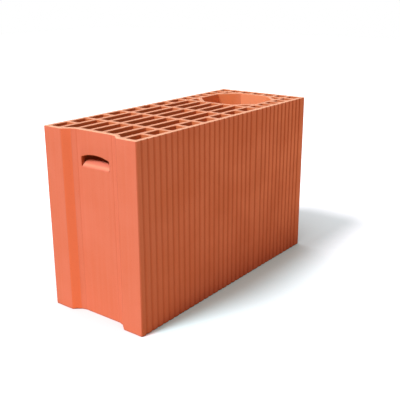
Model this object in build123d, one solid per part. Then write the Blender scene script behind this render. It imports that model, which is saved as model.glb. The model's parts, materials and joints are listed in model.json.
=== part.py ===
from build123d import *
from math import cos, radians, sin, sqrt
import os

# Vertically perforated clay corner block, fired in one piece. Lengths in millimetres, angles in degrees.
# X runs along the wall towards the pillar end, Y across the wall, Z up; the origin is under the middle.

# Overall size
block_length = 500.0
block_width = 200.0
block_height = 314.0
outer_corner_radius = 3.0

# Cell field: rows across the wall, long cells in the middle rows, half cells in the two outer rows
outer_wall = 9.0
web = 8.0
row_count = 7
long_column_count = 4
half_cells_per_long = 2
cell_corner_radius = 2.0

# Pillar end: an eight-sided void that takes a concrete tie column, small cells round it
void_length = 125.0
void_corner_leg = 34.0
void_wall = 8.5
void_corner_radius = 3.0
small_cells_beside_void = 5

# Interlock recess down the plain end
recess_mouth_width = 120.0
recess_knee_width = 94.8
recess_floor_width = 76.8
recess_knee_depth = 10.6
recess_depth = 13.2

# Plaster keys: shallow trapezoid grooves on the long sides and the pillar end
groove_pitch = 13.85
groove_mouth = 5.6
groove_floor = 3.0
groove_depth = 1.0
groove_end_margin = 12.3
groove_land = 19.3

# Hand-hold: an arched hole in the recess, with the pushed-in flap as its lower lip
hold_width = 60.0
hold_drop = 38.3
hold_side_height = 15.7
hold_arch_rise = 5.5
hold_reach = 38.0
flap_tilt = 45.0
flap_length = 17.6
flap_thickness = 8.0
flap_side_clearance = 1.0
flap_corner_radius = 8.0
flap_lip_radius = 3.0

# How far a cutter runs past the face that it opens
overrun = 5.0

# Lines of the grid that everything in the section follows
left_face = -block_length / 2
right_face = block_length / 2
row_pitch = (block_width - 2 * outer_wall + web) / row_count
cell_width = row_pitch - web
small_pitch = (void_length + web) / small_cells_beside_void
small_cell = small_pitch - web
void_right = right_face - outer_wall - small_cell - web
void_left = void_right - void_length
void_middle = (void_left + void_right) / 2
inner_row_count = row_count - 2
void_width = inner_row_count * row_pitch - web
long_start = left_face + outer_wall
long_end = void_left - web
long_pitch = (long_end - long_start + web) / long_column_count
half_pitch = long_pitch / half_cells_per_long
outer_row_y = (row_count - 1) / 2 * row_pitch
recess_floor_x = left_face + recess_depth
hold_sill = block_height - hold_drop - hold_arch_rise - hold_side_height


def at(x, y, shape):
    return Pos(x, y) * shape


def cell(start_x, pitch, row_y):
    # One cell of the grid, from its left side to one web short of the next cell.
    length = pitch - web
    return at(start_x + length / 2, row_y, Rectangle(length, cell_width))


def rounded(face, radius):
    # Shrunk with sharp corners and grown back with round ones, so that a short edge does no harm.
    return offset(offset(face, -radius, kind=Kind.INTERSECTION), radius, kind=Kind.ARC)


def recess():
    # Half the section of the recess is a steep flank, a gentle shoulder and half of the flat floor.
    knee_x = left_face + recess_knee_depth
    half = [
        (left_face - overrun, recess_mouth_width / 2),
        (left_face, recess_mouth_width / 2),
        (knee_x, recess_knee_width / 2),
        (recess_floor_x, recess_floor_width / 2),
    ]
    other_half = [(x, -y) for x, y in reversed(half)]
    return make_face(Polyline(*half, *other_half, close=True))


def plain_outline():
    slab = Rectangle(block_length, block_width)
    return rounded(slab, outer_corner_radius) - recess()


def groove(x, y, turn):
    # A trapezoid that is open outwards; at no turn it cuts into a face that looks towards -Y.
    flare = (groove_mouth - groove_floor) / 2 / groove_depth
    outer_half = groove_mouth / 2 + flare * overrun
    section = Polyline(
        (-outer_half, -overrun),
        (-groove_floor / 2, groove_depth),
        (groove_floor / 2, groove_depth),
        (outer_half, -overrun),
        close=True,
    )
    return Pos(x, y) * Rot(0, 0, turn) * make_face(section)


def steps(first, last):
    count = int((last - first) / groove_pitch) + 1
    return [first + index * groove_pitch for index in range(count)]


def grooves():
    # Two banks on each long side, either side of a plain land that marks where the pillar end begins.
    land_left = long_end - groove_land / 2
    land_right = long_end + groove_land / 2
    bank = steps(left_face + groove_end_margin, land_left - groove_pitch / 2)
    bank += [land_left]
    bank += steps(land_right, right_face - groove_end_margin)
    sides = [groove(x, -block_width / 2, 0) for x in bank]
    sides += [groove(x, block_width / 2, 180) for x in bank]
    reach = block_width / 2 - groove_end_margin
    upper = steps(groove_pitch / 2, reach)
    ends = [groove(right_face, sign * y, 90) for y in upper for sign in (-1, 1)]
    return sides + ends


def cells():
    # The grid is trimmed by the outline moved in by one wall, so the first cells follow the recess.
    field = offset(plain_outline(), -outer_wall, kind=Kind.INTERSECTION)
    found = []
    for row in range(row_count):
        row_y = row * row_pitch - outer_row_y
        if row in (0, row_count - 1):
            for index in range(long_column_count * half_cells_per_long):
                found.append(cell(long_start + index * half_pitch, half_pitch, row_y))
            for index in range(small_cells_beside_void):
                found.append(cell(void_left + index * small_pitch, small_pitch, row_y))
        else:
            for index in range(long_column_count):
                found.append(cell(long_start + index * long_pitch, long_pitch, row_y))
        found.append(cell(void_right + web, small_pitch, row_y))
    return [rounded(shape & field, cell_corner_radius) for shape in found]


def pillar_void():
    # A rectangle of the grid with its corners cut off at 45 degrees.
    field = at(void_middle, 0, Rectangle(void_length, void_width))
    return rounded(chamfer(field.vertices(), void_corner_leg), void_corner_radius)


def corner_cells():
    # What is left in the corners of that rectangle, behind the slanting walls of the void.
    leg = void_corner_leg - void_wall * sqrt(2)
    found = []
    for side_x in (-1, 1):
        for side_y in (-1, 1):
            x = void_middle + side_x * void_length / 2
            y = side_y * void_width / 2
            corner = Polyline((x, y), (x - side_x * leg, y), (x, y - side_y * leg), close=True)
            found.append(rounded(make_face(corner), cell_corner_radius))
    return found


def hand_hold():
    # The arched hole goes through the end wall and notches the webs behind it.
    half = hold_width / 2
    spring = hold_sill + hold_side_height
    crown = spring + hold_arch_rise
    sides = Polyline((-half, spring), (-half, hold_sill), (half, hold_sill), (half, spring))
    arch = ThreePointArc((half, spring), (0, crown), (-half, spring))
    mouth = Plane(origin=(left_face, 0, 0), x_dir=(0, -1, 0), z_dir=(-1, 0, 0))
    face = mouth * make_face([sides, arch])
    return extrude(face, amount=recess_depth + hold_reach, dir=(1, 0, 0))


def flap():
    # The flap hinges on the sill and leans inwards; its top corners and its lip are rounded.
    lean = radians(flap_tilt)
    slope = Plane(
        origin=(recess_floor_x, 0, hold_sill),
        x_dir=(0, -1, 0),
        z_dir=(-cos(lean), 0, sin(lean)),
    )
    width = hold_width - 2 * flap_side_clearance
    outline = at(0, flap_length / 2, Rectangle(width, flap_length))
    top_corners = outline.vertices().sort_by(Axis.Y)[2:]
    plate = extrude(slope * fillet(top_corners, flap_corner_radius), amount=-flap_thickness)
    front = plate.faces().sort_by(Axis(slope.origin, slope.z_dir))[-1]
    hinge_first = front.edges().sort_by(Axis.Z)
    return fillet(hinge_first[1:], flap_lip_radius)


def clay_block():
    section = plain_outline() - grooves() - cells() - corner_cells() - pillar_void()
    body = extrude(section, amount=block_height)
    return body - hand_hold() + flap()


os.makedirs("parts", exist_ok=True)
export_step(clay_block(), "parts/clay_block.step")
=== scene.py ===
import json
import bpy
import numpy as np
from mathutils import Matrix, Vector
from mathutils.geometry import delaunay_2d_cdt

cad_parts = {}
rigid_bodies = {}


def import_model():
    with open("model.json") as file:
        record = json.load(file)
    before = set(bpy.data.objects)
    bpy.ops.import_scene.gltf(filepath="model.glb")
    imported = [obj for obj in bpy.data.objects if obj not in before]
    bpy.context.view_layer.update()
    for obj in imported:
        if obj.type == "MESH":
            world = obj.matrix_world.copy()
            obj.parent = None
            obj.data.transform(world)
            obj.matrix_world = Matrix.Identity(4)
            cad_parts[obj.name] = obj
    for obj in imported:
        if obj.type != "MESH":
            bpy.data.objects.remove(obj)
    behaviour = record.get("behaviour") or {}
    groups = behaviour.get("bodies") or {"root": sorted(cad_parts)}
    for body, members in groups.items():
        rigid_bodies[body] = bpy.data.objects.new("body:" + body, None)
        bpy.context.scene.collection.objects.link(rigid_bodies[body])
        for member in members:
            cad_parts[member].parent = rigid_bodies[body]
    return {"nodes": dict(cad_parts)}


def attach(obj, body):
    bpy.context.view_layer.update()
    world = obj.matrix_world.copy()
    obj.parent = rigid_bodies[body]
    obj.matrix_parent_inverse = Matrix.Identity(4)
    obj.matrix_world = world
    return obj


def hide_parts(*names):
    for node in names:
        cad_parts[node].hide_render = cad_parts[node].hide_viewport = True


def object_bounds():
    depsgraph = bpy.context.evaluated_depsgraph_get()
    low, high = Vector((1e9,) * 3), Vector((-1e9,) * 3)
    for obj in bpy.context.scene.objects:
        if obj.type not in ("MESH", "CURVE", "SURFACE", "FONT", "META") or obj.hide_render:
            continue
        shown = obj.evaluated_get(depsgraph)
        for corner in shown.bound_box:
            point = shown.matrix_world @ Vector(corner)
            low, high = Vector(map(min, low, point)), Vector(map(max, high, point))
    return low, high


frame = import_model()
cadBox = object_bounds()
mm = 0.001  # shapes are worked out in millimetres and stored in metres
blockLeft, blockRight = cadBox[0][0] / mm, cadBox[1][0] / mm
blockHalfWidth = cadBox[1][1] / mm
blockHeight = cadBox[1][2] / mm
print("frame loaded, block", [round((b - a) / mm, 1) for a, b in zip(*cadBox)], "mm")


def ripple(places, lengths, seed):
    # smooth noise between -1 and 1: the mean of cosine waves, each with its own random heading,
    # phase and wavelength in mm
    draw = np.random.default_rng(seed)
    waveCount, gain = 28, 3  # the mean of so many waves is small, so it is raised
    heading = draw.normal(size=(waveCount, places.shape[-1]))
    heading /= np.linalg.norm(heading, axis=1, keepdims=True)
    waveNumber = 2 * np.pi * heading / draw.uniform(*lengths, size=(waveCount, 1))
    phase = draw.uniform(0, 2 * np.pi, waveCount)
    return np.clip(np.cos(places @ waveNumber.T + phase).mean(-1) * gain, -1, 1)


def ringQuads(ids):
    # quads between each ring of point numbers and the next
    onward = np.roll(ids, -1, axis=1)
    return np.stack([ids[:-1], onward[:-1], onward[1:], ids[1:]], axis=-1).reshape(-1, 4)


def meshObject(name, points, faces, values=None):
    # values are numbers per point that the material reads
    mesh = bpy.data.meshes.new(name)
    mesh.from_pydata(points * mm, [], faces)
    for label, numbers in (values or {}).items():
        mesh.attributes.new(label, "FLOAT", "POINT").data.foreach_set("value", numbers.astype(np.float32))
    piece = bpy.data.objects.new(name, mesh)
    bpy.context.scene.collection.objects.link(piece)
    return piece


def closedTube(name, grid):
    # rings joined by quads, with a flat face on the first ring and on the last
    ids = np.arange(grid.shape[0] * grid.shape[1]).reshape(grid.shape[:2])
    ends = [ids[0][::-1].tolist(), ids[-1].tolist()]
    return meshObject(name, grid.reshape(-1, 3), ringQuads(ids).tolist() + ends)


# the section is read from the solid's own upper bed; a path is rows of x, y and painted shade

def sectionOutlines(node):
    # closed outlines of the upper bed in mm, longest first; the clay is always on the left of the path
    mesh = node.data
    mesh.calc_loop_triangles()
    corners = np.empty(len(mesh.vertices) * 3, np.float32)
    mesh.vertices.foreach_get("co", corners)
    triangles = np.empty(len(mesh.loop_triangles) * 3, np.int32)
    mesh.loop_triangles.foreach_get("vertices", triangles)
    places, merged = np.unique(np.round(corners.reshape(-1, 3) / mm, 3), axis=0, return_inverse=True)
    triangles = merged.ravel()[triangles].reshape(-1, 3)
    slack = 0.01  # mm
    upper = triangles[(places[triangles][:, :, 2] > places[:, 2].max() - slack).all(axis=1)]
    start, end = upper.ravel(), np.roll(upper, -1, axis=1).ravel()
    rim = ~np.isin(start * len(places) + end, end * len(places) + start)  # sides with one triangle only
    following = dict(zip(start[rim].tolist(), end[rim].tolist()))
    outlines = []
    while following:
        path = list(following.popitem())
        while path[-1] != path[0]:
            path.append(following.pop(path[-1]))
        outlines.append(places[path[:-1], :2])
    return sorted(outlines, key=lambda path: -np.ptp(path[:, 0]))


def softened(path, radius, creasePaintedShade):
    # each corner becomes three points of a parabola that leaves one side and meets the next at the
    # # radius's distance, or at a share of a shorter side; the middle of a hollow corner holds painted shade
    shortShare = 0.4
    before, after = np.roll(path, 1, axis=0) - path, np.roll(path, -1, axis=0) - path
    sizeBefore = np.linalg.norm(before, axis=1, keepdims=True)
    sizeAfter = np.linalg.norm(after, axis=1, keepdims=True)
    cut = np.minimum(radius, shortShare * np.minimum(sizeBefore, sizeAfter))
    first, last = path + before / sizeBefore * cut, path + after / sizeAfter * cut
    middle = path / 2 + (first + last) / 4
    hollow = (before[:, 0] * after[:, 1] - before[:, 1] * after[:, 0] > 0) * creasePaintedShade
    still = np.zeros(len(path))
    columns = np.stack([first, middle, last], axis=1)
    return np.dstack([columns, np.stack([still, hollow, still], axis=1)]).reshape(-1, 3)


def divided(path, longest):
    # each side is cut into equal lengths no longer than this
    side = np.roll(path, -1, axis=0) - path
    count = np.ceil(np.linalg.norm(side[:, :2], axis=1) / longest).astype(int)
    owner = np.repeat(np.arange(len(path)), count)
    share = (np.arange(len(owner)) - np.repeat(np.cumsum(count) - count, count)) / count[owner]
    return path[owner] + side[owner] * share[:, None]


def outward(path, spread=0):
    # unit normals to the right of the path, which point out of the clay; with a spread in mm they are
    # averaged along the path by a bell curve of that width, so that narrow grooves share one direction
    along = np.roll(path, -1, axis=0) - np.roll(path, 1, axis=0)
    normal = np.stack([along[:, 1], -along[:, 0]], axis=1)
    if spread:
        step = np.linalg.norm(np.roll(path, -1, axis=0) - path, axis=1)
        place = np.cumsum(step) - step
        away = np.abs(place[:, None] - place)
        away = np.minimum(away, step.sum() - away) / spread
        normal = np.exp(-away ** 2) @ normal
    return normal / np.linalg.norm(normal, axis=1, keepdims=True)


# fired body: every outline is carried up the height with worn arrises, and two beds close it

bodyMake = {
    "seed": 100,
    "grooveSoftness": 0.9,        # mm, rounding of the plaster keys' edges
    "grooveDepth": 1.0,
    "recessHalf": 60.0,           # mm, half of the recess's mouth
    "kneeDepth": 10.6,            # mm, where its steep flank ends
    "skinStep": 4.5,              # mm along the outside, at most
    "cellStep": 20.0,
    "skinRows": 15,
    "cellRows": 6,
    "arrisSteps": 5,
    "lowerArris": (1.1, 1.9),     # mm, smallest and largest radius of the edge that the block stands on
    "upperArris": (0.6, 1.2),
    "cellArris": (0.5, 1.1),
    "arrisLengths": (8, 30),      # mm along the edge
    "chipCount": 20,              # knocks round each outer edge
    "chipHalfWidth": (1.5, 5.0),
    "chipDepth": (0.4, 1.7),
    "bow": 0.45,                  # mm, how far the skin wanders inwards
    "bowLengths": (70, 220),
    "normalSpread": 7.0,
    "sharpAngle": 24,             # degrees; flatter edges are shaded smooth
    # painted shade is 0 on plain clay, 1 in a groove and 3 at its darkest; the rims' mark is 0 on the skin
    # and 1 where the outer rim gets its painted highlight
    "grooveGrime": (0.44, 0.92),  # painted shade in the grooves, at the plain end and at the pillar end
    "grooveReach": 1.5,           # groove depths, past which a point isn't in a groove
    "paintedShadeShares": (0.55, 1.07),  # of the painted shade so far, at the foot and at the top
    "creasePaintedShade": 0.45,          # painted shade in the crease where the recess's floor begins
    "creaseMargin": 1.0,          # mm past the knee
    "mouthPaintedShade": 0.5,            # painted shade on the right flank of the recess, near its mouth
    "mouthBand": 2.0,             # mm, its depth and its width
    "flankMargin": 0.2,           # mm, free of the flank's colour at either edge
    "footPaintedShadow": 2.2,             # painted contact shadow in the round of the lower arris
    "footPaintedShade": 0.45,            # painted shade on the long sides, fading upwards
    "footRise": 70.0,             # mm
    "sideBand": 2.0,              # mm, what counts as a long side
    "cellWorn": 0.5,              # how pale the beds are at the cells
    "cellInner": 1.0,
    "voidInner": -1.0,
    "voidShade": 0.15,            # painted shade on the void's walls nearer the plain end
    "voidShadeShare": 0.3,        # of the void's length
    "voidPaintedLight": 0.12,             # painted light on its wall at the pillar end
    "voidPaintedLightShare": 0.95,
}


def skinBow(places, seed):
    # how far the skin lies inside the die's shape, in mm
    return bodyMake["bow"] * (0.5 + 0.5 * ripple(places, bodyMake["bowLengths"], seed))


def knocks(path, seed):
    # depth of the chips along an edge: parabolas at random places along the path
    draw = np.random.default_rng(seed)
    step = np.linalg.norm(np.roll(path, -1, axis=0) - path, axis=1)
    along = np.cumsum(step) - step
    place = draw.uniform(0, step.sum(), bodyMake["chipCount"])
    halfWidth = draw.uniform(*bodyMake["chipHalfWidth"], bodyMake["chipCount"])
    depth = draw.uniform(*bodyMake["chipDepth"], bodyMake["chipCount"])
    away = np.abs(along[:, None] - place)
    away = np.minimum(away, step.sum() - away) / halfWidth
    return (depth * np.clip(1 - away ** 2, 0, None)).max(axis=1)


def edgeRadius(path, limits, seed, chipped):
    # radius of a worn edge: smooth noise between the limits, and the chips on top
    low, high = limits
    radius = low + (high - low) * (0.5 + 0.5 * ripple(path, bodyMake["arrisLengths"], seed))
    return radius + (knocks(path, seed + 1) if chipped else 0)


def wall(path, rows, seed, skin):
    # grid of points, rows by path: height and inset follow a quarter round at the lower edge, a plain
    # rise, and a quarter round at the upper edge; the skin wanders inwards by smooth noise
    normal = outward(path, bodyMake["normalSpread"] if skin else 0)
    bottom = edgeRadius(path, bodyMake["lowerArris" if skin else "cellArris"], seed, skin)
    top = edgeRadius(path, bodyMake["upperArris" if skin else "cellArris"], seed + 2, skin)
    turn = np.linspace(0, np.pi / 2, bodyMake["arrisSteps"])[:, None]
    rise = np.linspace(0, 1, rows + 2)[1:-1, None]
    height = np.vstack([
        bottom * (1 - np.cos(turn)),
        bottom + rise * (blockHeight - top - bottom),
        blockHeight - top * (1 - np.cos(turn[::-1])),
    ])
    inset = np.vstack([
        bottom * (1 - np.sin(turn)),
        np.zeros((rows, len(path))),
        top * (1 - np.sin(turn[::-1])),
    ])
    grid = np.dstack([np.broadcast_to(path, (len(height), *path.shape)), height])
    grid[:, :, :2] -= normal * (inset + skinBow(grid, seed + 4))[:, :, None]
    # the rims' mark: on the cells a share towards the beds' ground colour, on the skin's upper edge up to
    # the rim colour, a painted highlight
    wearAndHighlight = np.vstack([np.cos(turn), np.zeros((rows, 1)), np.cos(turn[::-1])]) ** 2
    wearAndHighlight = np.broadcast_to(wearAndHighlight * (1 if skin else bodyMake["cellWorn"]), grid.shape[:2]).copy()
    if skin:
        wearAndHighlight[1:len(turn)] = 0
    return grid, wearAndHighlight


def skinTones(path):
    # painted shade and flank along the outer path: the grooves get painted shade, darker towards the pillar
    # end, the recess has
    # # painted shade in its creases and at the mouth of its right flank, and its left flank gets a redder
    # copy of the clay colour, painted light for how the light falls there
    inside, across = path[:, 0] - blockLeft, path[:, 1]
    sunk = np.minimum(blockHalfWidth - np.abs(across), blockRight - path[:, 0]) / bodyMake["grooveDepth"]
    near, far = bodyMake["grooveGrime"]
    groove = near + (far - near) * inside / (blockRight - blockLeft)
    knee, margin, band = bodyMake["kneeDepth"], bodyMake["flankMargin"], bodyMake["mouthBand"]
    flank = (np.abs(across) < bodyMake["recessHalf"]) * (inside > margin) * (inside < knee - margin)
    crease = path[:, 2] * (inside > knee + bodyMake["creaseMargin"])
    mouth = bodyMake["mouthPaintedShade"] * flank * (across < 0) * np.exp(-((inside - band) / band) ** 2)
    inGroove = sunk < bodyMake["grooveReach"]
    return np.where(inGroove, groove * np.clip(sunk, 0, 1), np.maximum(crease, mouth)), flank * (across > 0)


def bedTriangles(rims):
    # triangles between the rims of one bed: a constrained Delaunay mesh, of which only triangles
    # whose middle has an odd number of rim sides to its right are clay
    spots = np.vstack(rims)
    sizes = [len(rim) for rim in rims]
    firsts = np.cumsum([0] + sizes[:-1])
    start = np.arange(len(spots))
    end = np.concatenate([first + np.roll(np.arange(size), -1) for first, size in zip(firsts, sizes)])
    sides = np.stack([start, end], axis=1)
    wholeHull, closest = 0, 1e-6  # what the mesh covers, and the mm within which two points are one
    found = delaunay_2d_cdt([Vector(spot) for spot in spots], sides.tolist(), [], wholeHull, closest, True)
    faces, origins = found[2:4]
    triangles = np.array([ids[0] for ids in origins])[np.array(faces)]
    middle = spots[triangles].mean(axis=1)
    a, b = spots[start], spots[end]
    spans = (a[:, 1] > middle[:, 1:]) != (b[:, 1] > middle[:, 1:])
    rise = np.where(a[:, 1] == b[:, 1], 1, b[:, 1] - a[:, 1])
    crossing = a[:, 0] + (middle[:, 1:] - a[:, 1]) * (b[:, 0] - a[:, 0]) / rise
    return triangles[(spans & (crossing > middle[:, :1])).sum(axis=1) % 2 == 1]


def firedBody():
    # the longest outline is the skin, the next is the pillar void, and the others are cells
    outlines = sectionOutlines(frame["nodes"]["clay_block"])
    grids, quads, rings, used = [], [], [], 0
    values = {"wearAndHighlight": [], "paintedShade": [], "inner": [], "flank": []}
    for index, outline in enumerate(outlines):
        skin, void = index == 0, index == 1
        if skin:
            path = softened(outline, bodyMake["grooveSoftness"], bodyMake["creasePaintedShade"])
            path = divided(path, bodyMake["skinStep"])
            paintedShade, flank = skinTones(path)
            inner = 0.0
        else:
            path = divided(outline, bodyMake["cellStep"])
            reach = (path[:, 0] - path[:, 0].min()) / np.ptp(path[:, 0])
            # painted shade on the void's walls nearer the plain end
            paintedShade = bodyMake["voidShade"] * void * (reach < bodyMake["voidShadeShare"])
            # the void's walls get a paler copy of the clay, painted light, and the cells' walls a browner
            # one, painted shade
            flank, inner = 0.0, bodyMake["voidInner" if void else "cellInner"]
        rows = bodyMake["skinRows"] if skin else bodyMake["cellRows"]
        grid, wearAndHighlight = wall(path[:, :2], rows, bodyMake["seed"] + 10 * index, skin)
        # the painted shade is weaker towards the foot
        low, high = bodyMake["paintedShadeShares"]
        paintedShade = paintedShade * (low + (high - low) * grid[:, :, 2] / blockHeight)
        if skin:
            # painted shade on the long sides near the floor, fading upwards
            onSide = np.abs(path[:, 1]) > blockHalfWidth - bodyMake["sideBand"]
            paintedShade = paintedShade + bodyMake["footPaintedShade"] * onSide * np.exp(-grid[:, :, 2] / bodyMake["footRise"])
            # painted contact shadow in the round of the lower edge
            paintedShade[1:bodyMake["arrisSteps"] - 1] = bodyMake["footPaintedShadow"]
        # painted light on the void's wall at the pillar end
        if void:
            wearAndHighlight = np.maximum(wearAndHighlight, bodyMake["voidPaintedLight"] * (reach > bodyMake["voidPaintedLightShare"]))
        ids = used + np.arange(wearAndHighlight.size).reshape(wearAndHighlight.shape)
        used += wearAndHighlight.size
        grids.append(grid.reshape(-1, 3))
        quads.append(ringQuads(ids))
        rings.append(ids)
        for label, tone in zip(values, (wearAndHighlight, paintedShade, inner, flank)):
            values[label].append(np.broadcast_to(tone, wearAndHighlight.shape).ravel())
    points, quads = np.concatenate(grids), np.concatenate(quads)
    beds = []
    for row, order in ((0, -1), (-1, 1)):
        rims = [ids[row] for ids in rings]
        triangles = np.concatenate(rims)[bedTriangles([points[rim, :2] for rim in rims])]
        beds += triangles[:, ::order].tolist()
    values = {label: np.concatenate(tones) for label, tones in values.items()}
    piece = meshObject("fired_body", points, quads.tolist() + beds, values)
    piece.data.polygons.foreach_set("use_smooth", np.arange(len(quads) + len(beds)) < len(quads))
    print("fired body:", len(outlines) - 1, "cells,", len(quads) * 2 + len(beds), "triangles")
    return piece


# hand-hold: an arched hole pushed through the end wall, and the flap that the punch bent inwards

holdMake = {
    "recessDepth": 13.2,         # mm
    "width": 60.0,
    "sill": 254.5,
    "sideHeight": 15.7,
    "archRise": 5.5,
    "reach": 38.0,
    "cornerSoftness": 3.0,
    "outlineStep": 6.0,
    "overrun": 8.0,              # how far the cutter stands out of the wall
    "mouthBevel": 1.2,
    "bendRadius": 2.5,
    "flapTilt": np.radians(45),
    "flapLength": 17.6,
    "flapThickness": 7.0,
    "flapRoot": 14.0,            # mm that the flap goes on below the sill, inside the wall
    "flapSunk": 3.0,             # mm that this root lies behind the wall's face
    "flapStep": 1.5,             # mm below the bend where it does
    "flapOverlap": 0.3,          # mm that it is wider than the mouth's bevel
    "flapGap": 1.0,
    "flapCorner": 8.0,
    "archPoints": 25,
    "flapStations": 41,
    "bendPoints": 7,
    "slopePoints": 7,
    "lipPoints": 9,
    "floorBand": 1.0,            # mm, what counts as the recess's floor
    "floorFacing": 0.99,         # and how squarely it faces outwards
    # painted highlight on the flap, strongest just above its hinge
    "flapPaintedHighlight": 0.3,
    "highlightClimb": (0.26, 0.17),   # middle and width of the flap's painted highlight band, as shares of its rise
    "flapClimb": (-0.9, 1.2),    # what counts as the flap, as shares of its rise
    "flapDepth": 25.0,           # mm
    # painted shade in the hand-hold's hole
    "holePaintedShade": 2.35,
    "holeShade": 3.0,            # mm of depth in which the hole's painted shade builds up
    "toneMargin": (1.0, 2.0, 2.0),  # mm round the hole, along X, Y and Z
}

recessFloor = blockLeft + holdMake["recessDepth"]


def bendRun():
    # length of the flap that the bend at the sill takes up, on either side of the hinge
    return holdMake["bendRadius"] * np.tan(holdMake["flapTilt"] / 2)


def holdCutter():
    # the arch outline, wider at the mouth by a small bevel, is carried inwards along X
    half, sill = holdMake["width"] / 2, holdMake["sill"] - bendRun()
    crown = holdMake["sill"] + holdMake["sideHeight"] + holdMake["archRise"]
    radius = (half ** 2 + holdMake["archRise"] ** 2) / (2 * holdMake["archRise"])
    swing = np.arcsin(half / radius) * np.linspace(1, -1, holdMake["archPoints"])
    arch = np.stack([radius * np.sin(swing), crown - radius * (1 - np.cos(swing))], axis=1)
    outline = np.vstack([[-half, sill], [half, sill], arch])
    outline = divided(softened(outline, holdMake["cornerSoftness"], 0), holdMake["outlineStep"])[:, :2]
    bevel = holdMake["mouthBevel"]
    deep = np.array([-holdMake["overrun"], 0, bevel, holdMake["reach"]])
    grow = np.array([bevel, bevel, 0, 0])
    grid = outline + outward(outline) * grow[:, None, None]
    grid[:, :, 1] = np.maximum(grid[:, :, 1], sill)
    along = np.broadcast_to((recessFloor + deep)[:, None, None], (*grid.shape[:2], 1))
    return closedTube("hold_cutter", np.concatenate([along, grid], axis=2))


def flap():
    # a bent plate: its front leaves the wall at the sill, turns inwards on an arc and goes straight to a
    # round lip; this section is carried along Y, and gets shorter round the two upper corners
    tilt, radius, thick = holdMake["flapTilt"], holdMake["bendRadius"], holdMake["flapThickness"]
    root, corner = holdMake["flapRoot"], holdMake["flapCorner"]
    halfWidth = holdMake["width"] / 2 - holdMake["flapGap"]
    count = holdMake["flapStations"]
    station = halfWidth * np.sin(np.linspace(-np.pi / 2, np.pi / 2, count))
    over = np.clip(np.abs(station) - (halfWidth - corner), 0, None)
    length = holdMake["flapLength"] - corner + np.sqrt(np.clip(corner ** 2 - over ** 2, 0, None))
    deep, below = holdMake["flapSunk"], bendRun() + holdMake["flapStep"]
    foot = np.array([[deep, -root], [deep, -below]])
    bendTurn = np.linspace(0, tilt, holdMake["bendPoints"])
    bend = np.stack([radius * (1 - np.cos(bendTurn)), radius * np.sin(bendTurn) - bendRun()], axis=1)
    upSlope = np.array([np.sin(tilt), np.cos(tilt)])
    inwards = np.array([np.cos(tilt), -np.sin(tilt)])
    run = (length - bendRun() - thick / 2)[:, None, None]
    front = bend[-1] + upSlope * run * np.linspace(0, 1, holdMake["slopePoints"])[1:, None]
    lipTurn = np.linspace(0, np.pi, holdMake["lipPoints"])[1:, None]
    lip = front[:, -1:] + thick / 2 * (inwards * (1 - np.cos(lipTurn)) + upSlope * np.sin(lipTurn))
    backBend = bend[-1:] + thick * inwards
    backFoot = np.array([[thick, -root]])
    parts = (foot, bend, front, lip, backBend, backFoot)
    section = np.concatenate([np.broadcast_to(part, (count, *part.shape[-2:])) for part in parts], axis=1)
    hinge = np.stack([np.full(count, recessFloor), station, np.full(count, holdMake["sill"])], axis=1)
    sunk = skinBow(hinge, bodyMake["seed"] + 4)[:, None, None]
    low = np.clip(-section[:, :, 1:] / bendRun(), 0, 1)
    wider = (holdMake["flapGap"] + holdMake["mouthBevel"] + holdMake["flapOverlap"]) / halfWidth
    grid = np.concatenate([
        section[:, :, :1] + recessFloor + sunk,
        station[:, None, None] * (1 + low * wider),
        section[:, :, 1:] + holdMake["sill"],
    ], axis=2)
    return closedTube("hold_flap", grid)


def combined(piece, tool, operation):
    # cuts the tool out of the piece or joins it on, and removes the tool
    step = piece.modifiers.new(operation.lower(), "BOOLEAN")
    step.operation, step.object, step.solver = operation, tool, "EXACT"
    ready = piece.evaluated_get(bpy.context.evaluated_depsgraph_get())
    merged = bpy.data.meshes.new_from_object(ready)
    piece.modifiers.clear()
    piece.data = merged
    bpy.data.objects.remove(tool)


def holdTones(piece):
    # points in and round the hand-hold, which the cuts leave without tones of their own: the flap gets a
    # painted
    # # highlight just above its hinge, by a bell curve of its rise, and the hole gets painted shade, darker
    # with depth
    mesh = piece.data
    places = np.empty(len(mesh.vertices) * 3, np.float32)
    mesh.vertices.foreach_get("co", places)
    x, y, z = places.reshape(-1, 3).T / mm
    x, y, z = x - recessFloor, np.abs(y) - holdMake["width"] / 2, z - holdMake["sill"]
    climb = z / (holdMake["flapLength"] * np.cos(holdMake["flapTilt"]))
    foot, lip = holdMake["flapClimb"]
    marginX, marginY, marginZ = holdMake["toneMargin"]
    inside = (x > -marginX) & (x < holdMake["reach"] + marginX) & (y < marginY)
    inside &= (climb > foot) & (z < holdMake["sideHeight"] + holdMake["archRise"] + marginZ)
    onFlap = (y < -holdMake["flapGap"] / 2) & (x > 0) & (x < holdMake["flapDepth"]) & (climb < lip)
    onFlap |= climb <= 0
    middle, width = holdMake["highlightClimb"]
    # the flap's painted highlight band
    pale = np.exp(-((climb - middle) / width) ** 2) * (climb > 0)
    tones = {
        "wearAndHighlight": holdMake["flapPaintedHighlight"] * onFlap * pale,
        "paintedShade": holdMake["holePaintedShade"] * ~onFlap * np.clip(x / holdMake["holeShade"], 0, 1),
        "inner": 0 * climb,
        "flank": 0 * climb,
    }
    for label, tone in tones.items():
        numbers = np.empty(len(mesh.vertices), np.float32)
        mesh.attributes[label].data.foreach_get("value", numbers)
        mesh.attributes[label].data.foreach_set("value", np.where(inside, tone, numbers).astype(np.float32))


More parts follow.
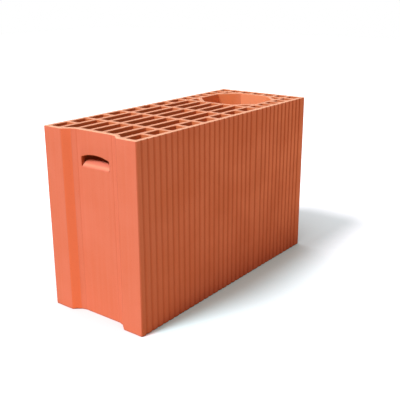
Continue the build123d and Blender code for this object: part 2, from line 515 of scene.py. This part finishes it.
def flatFloor(piece):
    # the bottom of the recess is shaded flat, so that the cut's edges don't bend the light on it
    count = len(piece.data.polygons)
    middle, facing, smooth = np.empty(count * 3), np.empty(count * 3), np.empty(count, bool)
    piece.data.polygons.foreach_get("center", middle)
    piece.data.polygons.foreach_get("normal", facing)
    piece.data.polygons.foreach_get("use_smooth", smooth)
    flat = np.abs(middle[::3] / mm - recessFloor) < holdMake["floorBand"]
    flat &= facing[::3] < -holdMake["floorFacing"]
    piece.data.polygons.foreach_set("use_smooth", smooth & ~flat)


# materials

def linear(code):
    # sRGB hex to linear colour
    share = np.array([int(code[i:i + 2], 16) for i in (1, 3, 5)]) / 255
    share = np.where(share <= 0.04045, share / 12.92, ((share + 0.055) / 1.055) ** 2.4)
    return (*share.tolist(), 1.0)


def perMetre(size):
    # texture scale for a pattern of this size in mm
    return 1 / (size * mm)


def addNode(tree, kind, inputs=None, **settings):
    # adds a node, sets its properties, and sets or links its inputs
    node = tree.nodes.new(kind)
    for name, value in settings.items():
        setattr(node, name, value)
    for name, value in (inputs or {}).items():
        if isinstance(value, bpy.types.NodeSocket):
            tree.links.new(value, node.inputs[name])
        else:
            node.inputs[name].default_value = value
    return node


def layered(tree, tone, layers):
    # lays colours over the first one; the share of each rises from 0 to its most between two values
    for value, low, high, most, colour in layers:
        share = addNode(tree, "ShaderNodeMapRange", {"Value": value, 1: low, 2: high, 4: most}).outputs[0]
        tone = addNode(tree, "ShaderNodeMix", {0: share, 6: tone, 7: colour}, data_type="RGBA").outputs[2]
    return tone


def newMaterial(name):
    material = bpy.data.materials.new(name)
    material.use_nodes = True
    material.node_tree.nodes.clear()
    return material, material.node_tree


clayLook = {
    "body": "#D2705A",
    "farEndLight": "#E57E64",         # painted light: paler towards the pillar end
    "warm": "#CE6A50",
    "pale": "#D57C6A",
    # painted shade colour for the grooves, creases and the other shaded marks
    "groove": "#AC4A2B",
    # the darkest painted shade: the contact line at the foot and the inside of the hand-hold's hole
    "deepShade": "#64220E",
    # painted light: a redder copy of the clay for the recess's left flank
    "flank": "#DF704F",
    # painted shade: a browner copy of the clay for the cells' walls
    "inner": "#C96F41",
    # painted light: a paler copy of the clay for the pillar void's walls
    "void": "#EC8A55",
    "bed": "#E09A79",
    "bedPale": "#E9AB89",
    # painted highlight along the outer top edge
    "rim": "#F3BA97",
    "grit": "#8E3E24",
    "mottle": (85.0, 4.0),        # size in mm, and detail
    "streak": (5.0, 3.0),
    "grain": (1.6, 2.0),          # drawn coarser than the real sand so that it shows
    "scratch": (1.8, 3.0),
    "streakDraw": (1, 1, 0.025),  # streaks are drawn out up the block, scratches along it
    "scratchDraw": (0.05, 1, 1),
    "mottleRise": (0.35, 0.65, 0.8),
    "streakRise": (0.4, 0.75, 0.25),
    "gritRise": (0.66, 0.74, 0.35),
    "deepShadeRise": (1.2, 3.0, 1),
    "grainBump": (0.25, 0.4),     # strength, and height in mm
    "streakBump": (0.22, 0.5),
    "roughness": 0.85,
    "sheen": 0.15,
}


def firedClay():
    # unglazed brick clay, extruded and fired: dry and matt, faint upright drag lines from the die, darker by
    # painted shade in the grooves, creases, hole, cells and along the foot, paler by painted light towards
    # the pillar end, on the flap, on the recess's left flank and in the void, with a painted highlight on
    # the outer top edge, and paler and scratched where the wire and the grinder opened the beds
    material, tree = newMaterial("extruded_fired_clay")
    colour = {name: linear(code) for name, code in clayLook.items() if isinstance(code, str)}
    mark = {}
    for name in ("wearAndHighlight", "paintedShade", "inner", "flank"):
        mark[name] = addNode(tree, "ShaderNodeAttribute", attribute_name=name).outputs["Fac"]
    place = addNode(tree, "ShaderNodeTexCoord").outputs["Object"]
    along = addNode(tree, "ShaderNodeSeparateXYZ", {"Vector": place}).outputs["X"]
    pattern = {}
    for name in ("mottle", "streak", "grain", "scratch"):
        size, detail = clayLook[name]
        draw = clayLook.get(name + "Draw", (1, 1, 1))
        drawn = addNode(tree, "ShaderNodeMapping", {"Vector": place, "Scale": draw}).outputs[0]
        pattern[name] = addNode(tree, "ShaderNodeTexNoise", {
            "Vector": drawn, "Scale": perMetre(size), "Detail": detail,
        }).outputs[0]
    cellWorn = bodyMake["cellWorn"]
    bed = layered(tree, colour["bed"], [
        (pattern["scratch"], 0, 1, 1, colour["bedPale"]),
        (mark["wearAndHighlight"], cellWorn, 1, 1, colour["rim"]),
    ])
    tone = layered(tree, colour["body"], [
        # painted light: the clay gets paler towards the pillar end
        (along, blockLeft * mm, blockRight * mm, 1, colour["farEndLight"]),
        (pattern["mottle"], *clayLook["mottleRise"], colour["warm"]),
        (pattern["streak"], *clayLook["streakRise"], colour["pale"]),
        (mark["flank"], 0, 1, 1, colour["flank"]),
        (mark["inner"], 0, bodyMake["cellInner"], 1, colour["inner"]),
        (mark["inner"], 0, bodyMake["voidInner"], 1, colour["void"]),
        (mark["paintedShade"], 0, 1, 1, colour["groove"]),
        (mark["paintedShade"], *clayLook["deepShadeRise"], colour["deepShade"]),
        (mark["wearAndHighlight"], 0, cellWorn, 1, bed),
        (pattern["grain"], *clayLook["gritRise"], colour["grit"]),
    ])
    relief = {}
    for name in ("grain", "streak"):
        strength, height = clayLook[name + "Bump"]
        relief["Normal"] = addNode(tree, "ShaderNodeBump", {
            "Strength": strength, "Distance": height * mm, "Height": pattern[name], **relief,
        }).outputs[0]
    shader = addNode(tree, "ShaderNodeBsdfPrincipled", {
        "Base Color": tone,
        "Roughness": clayLook["roughness"],
        "Specular IOR Level": clayLook["sheen"],
        **relief,
    }).outputs[0]
    addNode(tree, "ShaderNodeOutputMaterial", {"Surface": shader})
    return material


body = firedBody()
combined(body, holdCutter(), "DIFFERENCE")
combined(body, flap(), "UNION")
holdTones(body)
flatFloor(body)
body.data.set_sharp_from_angle(angle=np.radians(bodyMake["sharpAngle"]))
body.data.materials.clear()
body.data.materials.append(firedClay())
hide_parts("clay_block")
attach(body, "root")
print("hand-hold cut, body now has", len(body.data.polygons), "faces")


# studio: pale floor, key lamp from the left and a little behind, soft lamp in front, even surroundings

studio = {
    "floorSize": 12.0,           # metres
    "floorSeen": "#F9E5E3",      # the sheet as the camera sees it
    "floorCool": "#9FF9F9",      # in the crease beside the long side, against the red that the clay throws
    "floorBounce": "#EDEDB2",    # and as it lights the block
    "floorCreaseStart": (0.06, 0.01),  # metres in from the plain end; the cool colour fades out between them
    "floorGlow": "#D5F5FF",
    "floorLift": 0.66,           # glow that makes the shadow paler for the camera, but not in the crease
    "floorLiftPower": 2.74,
    "floorCrease": 0.45,         # metres that the crease's shade reaches
    "floorSamples": 16,
    "lamps": (
        # name, direction towards it, strength, angle, colour
        ("key", (-0.61, 0.182, 0.76), 3.74, 16, (0.878, 0.918, 1.0)),
        ("front_soft", (-0.33, -0.62, 0.71), 0.42, 70, (1.0, 0.74, 0.55)),
    ),
    "fillColour": "#FFEDE8",
    "fill": 0.275,
}


def paleFloor():
    # matt white sheet that the block stands on
    material, tree = newMaterial("matt_white_sheet")
    seen = addNode(tree, "ShaderNodeLightPath").outputs["Is Camera Ray"]
    openness = addNode(tree, "ShaderNodeAmbientOcclusion", {
        "Distance": studio["floorCrease"],
    }, samples=studio["floorSamples"]).outputs["AO"]
    place = addNode(tree, "ShaderNodeTexCoord").outputs["Object"]
    along = addNode(tree, "ShaderNodeSeparateXYZ", {"Vector": place}).outputs["X"]
    whole, none = (blockLeft * mm + start for start in studio["floorCreaseStart"])
    ahead = addNode(tree, "ShaderNodeMapRange", {"Value": along, 1: whole, 2: none}).outputs[0]
    plain = addNode(tree, "ShaderNodeMath", {0: openness, 1: ahead}, operation="MAXIMUM").outputs[0]
    colour = layered(tree, linear(studio["floorCool"]), [(plain, 0, 1, 1, linear(studio["floorSeen"]))])
    colour = layered(tree, linear(studio["floorBounce"]), [(seen, 0, 1, 1, colour)])
    sheet = addNode(tree, "ShaderNodeBsdfDiffuse", {"Color": colour}).outputs[0]
    lift = openness
    for operation, amount in (
        ("POWER", studio["floorLiftPower"]), ("MULTIPLY", seen), ("MULTIPLY", studio["floorLift"]),
    ):
        lift = addNode(tree, "ShaderNodeMath", {0: lift, 1: amount}, operation=operation).outputs[0]
    glow = addNode(tree, "ShaderNodeEmission", {
        "Color": linear(studio["floorGlow"]), "Strength": lift,
    }).outputs[0]
    shader = addNode(tree, "ShaderNodeAddShader", {0: sheet, 1: glow}).outputs[0]
    addNode(tree, "ShaderNodeOutputMaterial", {"Surface": shader})
    half = studio["floorSize"] / 2 / mm
    corners = half * np.array([[-1, -1, 0], [1, -1, 0], [1, 1, 0], [-1, 1, 0]])
    floor = meshObject("floor", corners, [(0, 1, 2, 3)])
    floor.data.materials.append(material)


def surroundings():
    # white to the camera and in reflections, a softer warm white as light
    world = bpy.data.worlds.new("surroundings")
    world.use_nodes = True
    tree = world.node_tree
    tree.nodes.clear()
    path = addNode(tree, "ShaderNodeLightPath").outputs
    seen = path["Is Camera Ray"]
    for other in ("Is Glossy Ray", "Is Transmission Ray"):
        seen = addNode(tree, "ShaderNodeMath", {0: seen, 1: path[other]}, operation="MAXIMUM").outputs[0]
    strength = addNode(tree, "ShaderNodeMix", {0: seen, 2: studio["fill"], 3: 1.0}).outputs[0]
    colour = layered(tree, linear(studio["fillColour"]), [(seen, 0, 1, 1, linear("#FFFFFF"))])
    shine = addNode(tree, "ShaderNodeBackground", {"Color": colour, "Strength": strength}).outputs[0]
    addNode(tree, "ShaderNodeOutputWorld", {"Surface": shine})
    bpy.context.scene.world = world


def lamps():
    for name, towards, strength, angle, colour in studio["lamps"]:
        lamp = bpy.data.lights.new(name, "SUN")
        lamp.energy, lamp.angle, lamp.color = strength, np.radians(angle), colour
        holder = bpy.data.objects.new(name, lamp)
        holder.matrix_world = Vector(towards).to_track_quat("Z", "Y").to_matrix().to_4x4()
        bpy.context.scene.collection.objects.link(holder)


# camera solved from the corners and the outline of the block in the photograph

cameraMake = {
    "azimuth": np.radians(-52.854),
    "elevation": np.radians(17.882),
    "roll": np.radians(-0.145),
    "focalPixels": 653.134,
    "imagePixels": 400,
    "sensorWidth": 36.0,
    "offset": (19.411, 136.113, 1271.906),  # mm to the right, up and back from the block's origin
}


def photoCamera():
    # the view's axes follow from azimuth and elevation, and are then rolled
    a, e, r = cameraMake["azimuth"], cameraMake["elevation"], cameraMake["roll"]
    back = np.array([np.sin(a) * np.cos(e), -np.cos(a) * np.cos(e), np.sin(e)])
    level = np.array([np.cos(a), np.sin(a), 0])
    rise = np.cross(back, level)
    right = level * np.cos(r) + rise * np.sin(r)
    up = rise * np.cos(r) - level * np.sin(r)
    axes = np.stack([right, up, back], axis=1)
    lens = bpy.data.cameras.new("photo_camera")
    lens.sensor_width = cameraMake["sensorWidth"]
    lens.lens = cameraMake["focalPixels"] / cameraMake["imagePixels"] * lens.sensor_width
    camera = bpy.data.objects.new("photo_camera", lens)
    place = axes @ np.array(cameraMake["offset"]) * mm
    camera.matrix_world = Matrix.Translation(place) @ Matrix(axes.tolist()).to_4x4()
    bpy.context.scene.collection.objects.link(camera)
    bpy.context.scene.camera = camera


paleFloor()
surroundings()
lamps()
photoCamera()
bpy.context.scene.view_settings.view_transform = "Standard"
print("studio and camera set")
